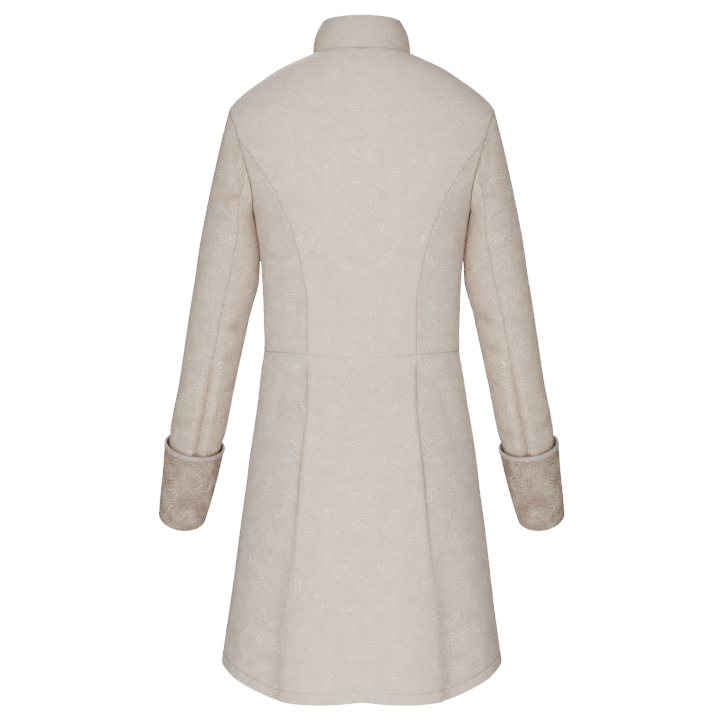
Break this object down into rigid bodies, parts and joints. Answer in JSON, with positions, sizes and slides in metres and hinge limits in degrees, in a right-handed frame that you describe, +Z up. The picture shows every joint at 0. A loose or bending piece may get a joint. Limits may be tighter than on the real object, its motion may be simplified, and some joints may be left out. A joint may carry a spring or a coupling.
{
  "type": "frock coat",
  "caption": "Fitted hollow frock coat with a stand collar, curved back seams, a waist seam, skirt pleats, turned-back cuffs and a buttoned front.",
  "frame": {"origin": "middle of the neck, level with the neck ends of the shoulder seams", "axes": "+Z up, the front faces -Y, the wearer's left is +X"},
  "size_m": [0.6292, 0.3275, 0.9917],
  "materials": {
    "coat_cloth": "soft satin sheen, self-coloured leaf jacquard",
    "cuff_edge": "soft satin sheen, plain",
    "button": "soft gloss"
  },
  "bodies": {
    "root": {"back_centre": "coat_cloth", "back_side_left": "coat_cloth", "back_side_right": "coat_cloth", "front_left": "coat_cloth", "front_right": "coat_cloth", "skirt_back_centre": "coat_cloth", "skirt_side_left": "coat_cloth", "skirt_side_right": "coat_cloth", "skirt_front_left": "coat_cloth", "skirt_front_right": "coat_cloth", "collar": "coat_cloth", "sleeve_top_left": "coat_cloth", "sleeve_top_right": "coat_cloth", "sleeve_under_left": "coat_cloth", "sleeve_under_right": "coat_cloth", "forearm_top_left": "coat_cloth", "forearm_top_right": "coat_cloth", "forearm_under_left": "coat_cloth", "forearm_under_right": "coat_cloth", "cuff_left": "coat_cloth", "cuff_right": "coat_cloth", "cuff_edge_left": "cuff_edge", "cuff_edge_right": "cuff_edge", "button_1": "button", "button_2": "button", "button_3": "button", "button_4": "button", "button_5": "button", "button_6": "button", "button_7": "button"}
  },
  "joints": []
}
